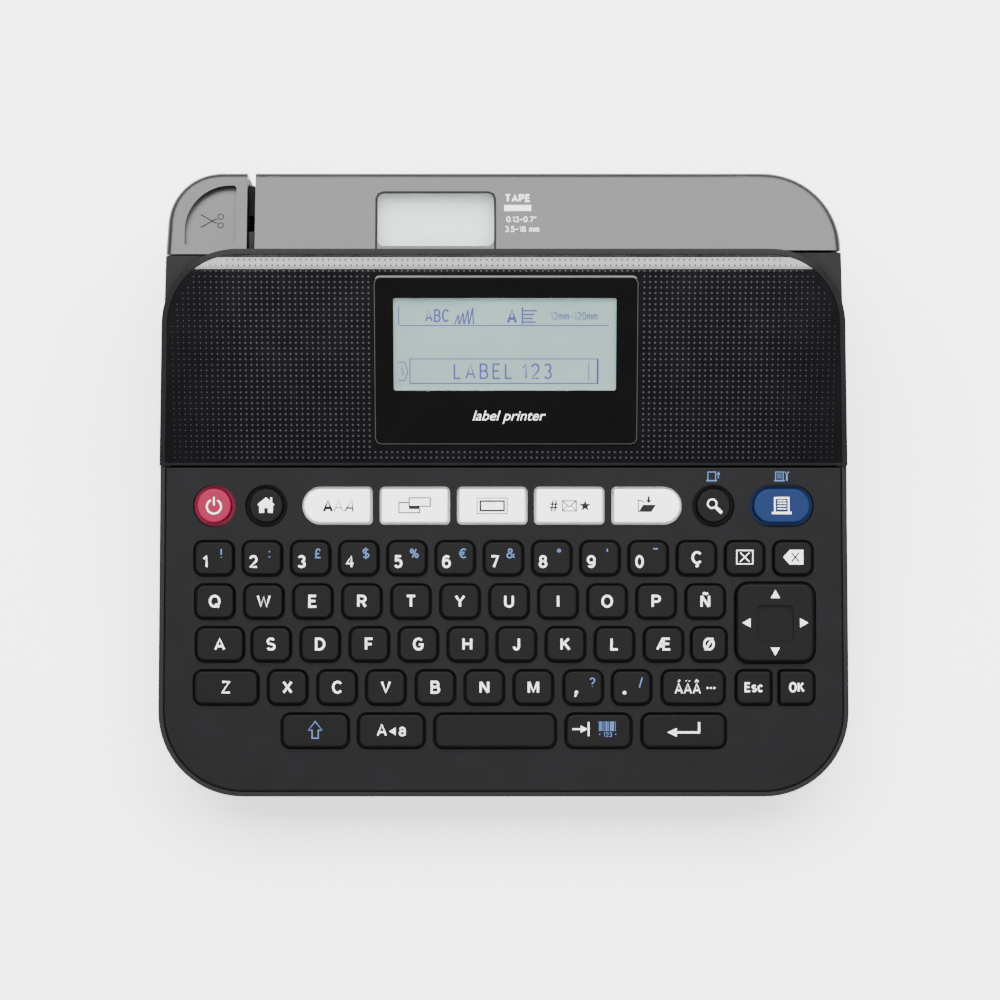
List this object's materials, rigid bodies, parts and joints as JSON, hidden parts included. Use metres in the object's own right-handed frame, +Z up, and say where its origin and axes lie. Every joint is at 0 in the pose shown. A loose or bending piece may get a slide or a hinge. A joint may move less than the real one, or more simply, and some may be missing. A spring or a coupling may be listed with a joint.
{
  "type": "label printer",
  "caption": "Desktop label printer: sloping keyboard deck, raised display, cutter lever at the rear left corner, rear cover over a tape cassette and its roller drive.",
  "frame": {"origin": "middle of the bounding box at the desk surface", "axes": "+X to the right seen from the keyboard side, +Y to the back, +Z up"},
  "size_m": [0.19, 0.1773, 0.0706],
  "materials": {
    "arm_alloy": "cast",
    "board_green": "satin",
    "case_black": "fine matt texture",
    "cassette_plastic": "satin",
    "cell": "satin",
    "ceramic": "glazed",
    "clear": "clear",
    "contact": "nickel plated",
    "deck_grey": "fine matt texture",
    "foot_rubber": "matt",
    "frame_plastic": "matt",
    "gear_white": "satin",
    "gloss_black": "polished",
    "jack_black": "matt",
    "key_black": "soft satin",
    "key_blue": "satin",
    "key_pink": "satin",
    "key_white": "satin",
    "lcd": "satin",
    "lens_black": "polished",
    "mat_rubber": "matt",
    "motor_steel": "plated",
    "ribbon_black": "satin",
    "roller_rubber": "ground",
    "spring_steel": "drawn",
    "steel": "ground",
    "tape_white": "satin"
  },
  "bodies": {
    "printer_body": {"batteries": "cell", "battery_contacts": "contact", "case_screws": "steel", "chassis_frame": "frame_plastic", "display_housing": "case_black", "display_lens": "lens_black", "display_panel": "gloss_black", "drive_motor": "motor_steel", "fixed_blade": "steel", "key_mat": "mat_rubber", "keyboard_deck": "deck_grey", "keypad_board": "board_green", "lcd_glass": "clear", "lcd_module": "lcd", "lever_spring": "spring_steel", "lower_case": "case_black", "main_board": "board_green", "power_jack": "jack_black", "rubber_feet": "foot_rubber", "usb_socket": "contact"},
    "key_accent": {"key_accent": "key_black"},
    "key_backspace": {"key_backspace": "key_black"},
    "key_caps": {"key_caps": "key_black"},
    "key_clear": {"key_clear": "key_black"},
    "key_enter": {"key_enter": "key_black"},
    "key_escape": {"key_escape": "key_black"},
    "key_file": {"key_file": "key_white"},
    "key_font": {"key_font": "key_white"},
    "key_frame": {"key_frame": "key_white"},
    "key_home": {"key_home": "key_black"},
    "key_layout": {"key_layout": "key_white"},
    "key_ok": {"key_ok": "key_black"},
    "key_power": {"key_power": "key_pink"},
    "key_print": {"key_print": "key_blue"},
    "key_row_lower": {"key_row_lower": "key_black"},
    "key_row_middle": {"key_row_middle": "key_black"},
    "key_row_numbers": {"key_row_numbers": "key_black"},
    "key_row_upper": {"key_row_upper": "key_black"},
    "key_search": {"key_search": "key_black"},
    "key_shift": {"key_shift": "key_black"},
    "key_space": {"key_space": "key_black"},
    "key_symbol": {"key_symbol": "key_white"},
    "key_tab": {"key_tab": "key_black"},
    "dpad_pivot": {"dpad_pivot": "frame_plastic"},
    "dpad": {"dpad": "key_black"},
    "back_cover": {"back_cover": "case_black", "cover_window": "clear"},
    "tape_cassette": {"cassette_case": "cassette_plastic"},
    "tape_reel": {"tape_reel": "tape_white"},
    "ribbon_spool": {"ribbon_spool": "ribbon_black"},
    "battery_cover": {"battery_cover": "case_black"},
    "cutter_lever": {"cutter_lever": "case_black"},
    "cutter_blade": {"cutter_blade": "steel"},
    "head_arm": {"head_arm": "arm_alloy", "print_head": "ceramic"},
    "motor_pinion": {"motor_pinion": "gear_white"},
    "idler_gear": {"idler_gear": "gear_white"},
    "platen_roller": {"platen_roller": "roller_rubber"},
    "spindle_gear": {"spindle_gear": "gear_white"}
  },
  "joints": [
    {"name": "key_accent_press", "type": "slide", "parent": "printer_body", "child": "key_accent", "axis": [0, 0.2079, -0.9781], "range_m": [0, 0.0008], "stiffness_N_per_m": 600, "springref_m": -0.0003},
    {"name": "key_backspace_press", "type": "slide", "parent": "printer_body", "child": "key_backspace", "axis": [0, 0.2079, -0.9781], "range_m": [0, 0.0008], "stiffness_N_per_m": 600, "springref_m": -0.0003},
    {"name": "key_caps_press", "type": "slide", "parent": "printer_body", "child": "key_caps", "axis": [0, 0.2079, -0.9781], "range_m": [0, 0.0008], "stiffness_N_per_m": 600, "springref_m": -0.0003},
    {"name": "key_clear_press", "type": "slide", "parent": "printer_body", "child": "key_clear", "axis": [0, 0.2079, -0.9781], "range_m": [0, 0.0008], "stiffness_N_per_m": 600, "springref_m": -0.0003},
    {"name": "key_enter_press", "type": "slide", "parent": "printer_body", "child": "key_enter", "axis": [0, 0.2079, -0.9781], "range_m": [0, 0.0008], "stiffness_N_per_m": 600, "springref_m": -0.0003},
    {"name": "key_escape_press", "type": "slide", "parent": "printer_body", "child": "key_escape", "axis": [0, 0.2079, -0.9781], "range_m": [0, 0.0008], "stiffness_N_per_m": 600, "springref_m": -0.0003},
    {"name": "key_file_press", "type": "slide", "parent": "printer_body", "child": "key_file", "axis": [0, 0.2079, -0.9781], "range_m": [0, 0.0008], "stiffness_N_per_m": 600, "springref_m": -0.0003},
    {"name": "key_font_press", "type": "slide", "parent": "printer_body", "child": "key_font", "axis": [0, 0.2079, -0.9781], "range_m": [0, 0.0008], "stiffness_N_per_m": 600, "springref_m": -0.0003},
    {"name": "key_frame_press", "type": "slide", "parent": "printer_body", "child": "key_frame", "axis": [0, 0.2079, -0.9781], "range_m": [0, 0.0008], "stiffness_N_per_m": 600, "springref_m": -0.0003},
    {"name": "key_home_press", "type": "slide", "parent": "printer_body", "child": "key_home", "axis": [0, 0.2079, -0.9781], "range_m": [0, 0.0008], "stiffness_N_per_m": 600, "springref_m": -0.0003},
    {"name": "key_layout_press", "type": "slide", "parent": "printer_body", "child": "key_layout", "axis": [0, 0.2079, -0.9781], "range_m": [0, 0.0008], "stiffness_N_per_m": 600, "springref_m": -0.0003},
    {"name": "key_ok_press", "type": "slide", "parent": "printer_body", "child": "key_ok", "axis": [0, 0.2079, -0.9781], "range_m": [0, 0.0008], "stiffness_N_per_m": 600, "springref_m": -0.0003},
    {"name": "key_power_press", "type": "slide", "parent": "printer_body", "child": "key_power", "axis": [0, 0.2079, -0.9781], "range_m": [0, 0.0008], "stiffness_N_per_m": 600, "springref_m": -0.0003},
    {"name": "key_print_press", "type": "slide", "parent": "printer_body", "child": "key_print", "axis": [0, 0.2079, -0.9781], "range_m": [0, 0.0008], "stiffness_N_per_m": 600, "springref_m": -0.0003},
    {"name": "key_row_lower_press", "type": "slide", "parent": "printer_body", "child": "key_row_lower", "axis": [0, 0.2079, -0.9781], "range_m": [0, 0.0008], "stiffness_N_per_m": 600, "springref_m": -0.0003},
    {"name": "key_row_middle_press", "type": "slide", "parent": "printer_body", "child": "key_row_middle", "axis": [0, 0.2079, -0.9781], "range_m": [0, 0.0008], "stiffness_N_per_m": 600, "springref_m": -0.0003},
    {"name": "key_row_numbers_press", "type": "slide", "parent": "printer_body", "child": "key_row_numbers", "axis": [0, 0.2079, -0.9781], "range_m": [0, 0.0008], "stiffness_N_per_m": 600, "springref_m": -0.0003},
    {"name": "key_row_upper_press", "type": "slide", "parent": "printer_body", "child": "key_row_upper", "axis": [0, 0.2079, -0.9781], "range_m": [0, 0.0008], "stiffness_N_per_m": 600, "springref_m": -0.0003},
    {"name": "key_search_press", "type": "slide", "parent": "printer_body", "child": "key_search", "axis": [0, 0.2079, -0.9781], "range_m": [0, 0.0008], "stiffness_N_per_m": 600, "springref_m": -0.0003},
    {"name": "key_shift_press", "type": "slide", "parent": "printer_body", "child": "key_shift", "axis": [0, 0.2079, -0.9781], "range_m": [0, 0.0008], "stiffness_N_per_m": 600, "springref_m": -0.0003},
    {"name": "key_space_press", "type": "slide", "parent": "printer_body", "child": "key_space", "axis": [0, 0.2079, -0.9781], "range_m": [0, 0.0008], "stiffness_N_per_m": 600, "springref_m": -0.0003},
    {"name": "key_symbol_press", "type": "slide", "parent": "printer_body", "child": "key_symbol", "axis": [0, 0.2079, -0.9781], "range_m": [0, 0.0008], "stiffness_N_per_m": 600, "springref_m": -0.0003},
    {"name": "key_tab_press", "type": "slide", "parent": "printer_body", "child": "key_tab", "axis": [0, 0.2079, -0.9781], "range_m": [0, 0.0008], "stiffness_N_per_m": 600, "springref_m": -0.0003},
    {"name": "dpad_rock_rows", "type": "hinge", "parent": "printer_body", "child": "dpad_pivot", "pos_m": [0.0746, -0.04104, 0.03078], "axis": [1, 0, 0], "range_deg": [-3, 3], "stiffness_Nm_per_rad": 0.4},
    {"name": "dpad_rock_sides", "type": "hinge", "parent": "dpad_pivot", "child": "dpad", "pos_m": [0.0746, -0.04104, 0.03078], "axis": [0, 0.9781, 0.2079], "range_deg": [-3, 3], "stiffness_Nm_per_rad": 0.4},
    {"name": "back_cover_hinge", "type": "hinge", "parent": "printer_body", "child": "back_cover", "pos_m": [0, 0.0863, 0.0097], "axis": [-1, 0, 0], "range_deg": [0, 95]},
    {"name": "cassette_slide", "type": "slide", "parent": "printer_body", "child": "tape_cassette", "axis": [0, 0.9781, 0.2079], "range_m": [0, 0.04]},
    {"name": "tape_reel_spin", "type": "hinge", "parent": "tape_cassette", "child": "tape_reel", "pos_m": [-0.002, 0.05245, 0.03869], "axis": [0, -0.2079, 0.9781], "continuous": true},
    {"name": "ribbon_spool_spin", "type": "hinge", "parent": "tape_cassette", "child": "ribbon_spool", "pos_m": [-0.02945, 0.03279, 0.03451], "axis": [0, -0.2079, 0.9781], "continuous": true},
    {"name": "battery_cover_hinge", "type": "hinge", "parent": "printer_body", "child": "battery_cover", "pos_m": [0, 0.0031, 0.0037], "axis": [1, 0, 0], "range_deg": [0, 100]},
    {"name": "cutter_lever_press", "type": "hinge", "parent": "printer_body", "child": "cutter_lever", "pos_m": [-0.081, 0.05946, 0.05142], "axis": [-1, 0, 0], "range_deg": [0, 12], "stiffness_Nm_per_rad": 0.5, "springref_deg": -2.86, "deforming": ["lever_spring"]},
    {"name": "cutter_blade_swing", "type": "hinge", "parent": "printer_body", "child": "cutter_blade", "pos_m": [-0.08, 0.07428, 0.01777], "axis": [0, 0.9781, 0.2079], "range_deg": [0, 8]},
    {"name": "head_arm_swing", "type": "hinge", "parent": "printer_body", "child": "head_arm", "pos_m": [-0.0666, 0.02213, 0.03224], "axis": [0, 0.2079, -0.9781], "range_deg": [0, 3]},
    {"name": "motor_pinion_spin", "type": "hinge", "parent": "printer_body", "child": "motor_pinion", "pos_m": [-0.0616, 0.06058, 0.02304], "axis": [0, -0.2079, 0.9781], "continuous": true},
    {"name": "idler_gear_spin", "type": "hinge", "parent": "printer_body", "child": "idler_gear", "pos_m": [-0.052, 0.04432, 0.01958], "axis": [0, -0.2079, 0.9781], "continuous": true},
    {"name": "platen_roller_spin", "type": "hinge", "parent": "printer_body", "child": "platen_roller", "pos_m": [-0.0734, 0.04718, 0.02019], "axis": [0, -0.2079, 0.9781], "continuous": true},
    {"name": "spindle_gear_spin", "type": "hinge", "parent": "printer_body", "child": "spindle_gear", "pos_m": [-0.02945, 0.03633, 0.01788], "axis": [0, -0.2079, 0.9781], "continuous": true}
  ],
  "couplings": [
    {"joint": "cassette_slide", "follows": "back_cover_hinge", "m_per_rad": 0.024125},
    {"joint": "head_arm_swing", "follows": "back_cover_hinge", "ratio": 0.031579},
    {"joint": "cutter_blade_swing", "follows": "cutter_lever_press", "ratio": 0.66667},
    {"joint": "motor_pinion_spin", "follows": "idler_gear_spin", "ratio": -3},
    {"joint": "platen_roller_spin", "follows": "idler_gear_spin", "ratio": -2},
    {"joint": "spindle_gear_spin", "follows": "idler_gear_spin", "ratio": -1.5},
    {"joint": "ribbon_spool_spin", "follows": "idler_gear_spin", "ratio": -1.5},
    {"joint": "tape_reel_spin", "follows": "idler_gear_spin", "ratio": -0.36}
  ]
}
